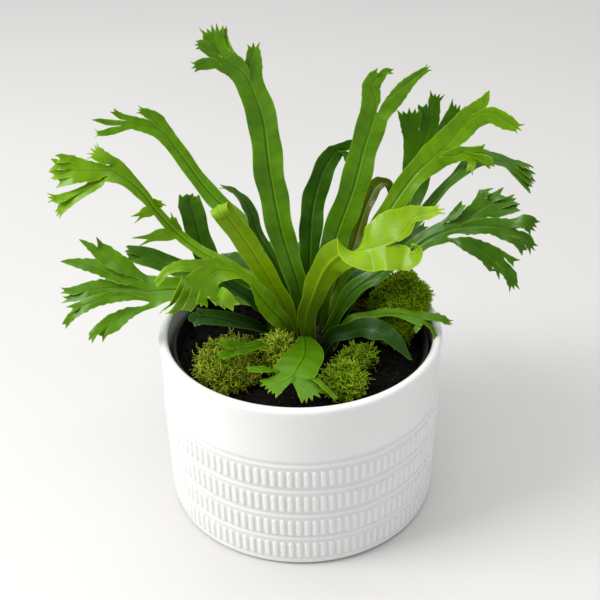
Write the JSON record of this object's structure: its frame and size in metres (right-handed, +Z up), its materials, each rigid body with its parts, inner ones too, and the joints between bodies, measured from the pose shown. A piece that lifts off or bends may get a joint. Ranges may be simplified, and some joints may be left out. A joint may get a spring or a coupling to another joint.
{
  "type": "potted bird's-nest fern",
  "caption": "Crested bird's-nest fern with forked, frilled frond tips, growing from dark soil and moss in a nursery pot inside a ribbed white pot.",
  "frame": {"origin": "centre of the ceramic pot's flat base", "axes": "+Z up along the pot's axis; -Y towards the viewer, the side that the picture shows; +X to the viewer's right"},
  "size_m": [0.2781, 0.2059, 0.2862],
  "materials": {
    "crown_scales": "matte",
    "leaf_dark": "satin",
    "leaf_mid": "satin",
    "leaf_brown": "satin",
    "leaf_new": "satin",
    "leaf_young": "satin",
    "leaf_old": "satin",
    "moss_brown": "matte",
    "moss_yellow": "matte",
    "moss_lime": "matte",
    "moss_olive": "matte",
    "moss_dark": "matte",
    "nursery_plastic": "satin",
    "glazed_pot": "gloss",
    "potting_soil": "matte"
  },
  "bodies": {
    "root": {"crown": "crown_scales", "frond_back_arch": "leaf_dark", "frond_back_fan": "leaf_dark", "frond_back_left_long": "leaf_mid", "frond_curled_back": "leaf_brown", "frond_cut_top": "leaf_dark", "frond_front_bright": "leaf_new", "frond_front_left": "leaf_new", "frond_front_low": "leaf_young", "frond_left_arch": "leaf_young", "frond_left_dark": "leaf_dark", "frond_left_fan": "leaf_mid", "frond_low_left_dark": "leaf_dark", "frond_low_left_fold": "leaf_dark", "frond_low_left_spoon": "leaf_dark", "frond_low_right": "leaf_mid", "frond_low_right_front": "leaf_dark", "frond_narrow_loop": "leaf_dark", "frond_rear_a": "leaf_mid", "frond_rear_b": "leaf_dark", "frond_rear_c": "leaf_mid", "frond_rear_d": "leaf_dark", "frond_rear_e": "leaf_dark", "frond_right_arch": "leaf_dark", "frond_right_big": "leaf_mid", "frond_right_dark": "leaf_dark", "frond_right_light": "leaf_young", "frond_tall_left": "leaf_old", "frond_tall_right": "leaf_mid", "frond_young_coil": "leaf_new", "moss_back_small": "moss_brown", "moss_centre": "moss_yellow", "moss_front_right": "moss_lime", "moss_left": "moss_olive", "moss_mound": "moss_dark", "moss_right_small": "moss_lime", "nursery_pot": "nursery_plastic", "pot": "glazed_pot", "soil": "potting_soil"}
  },
  "joints": []
}
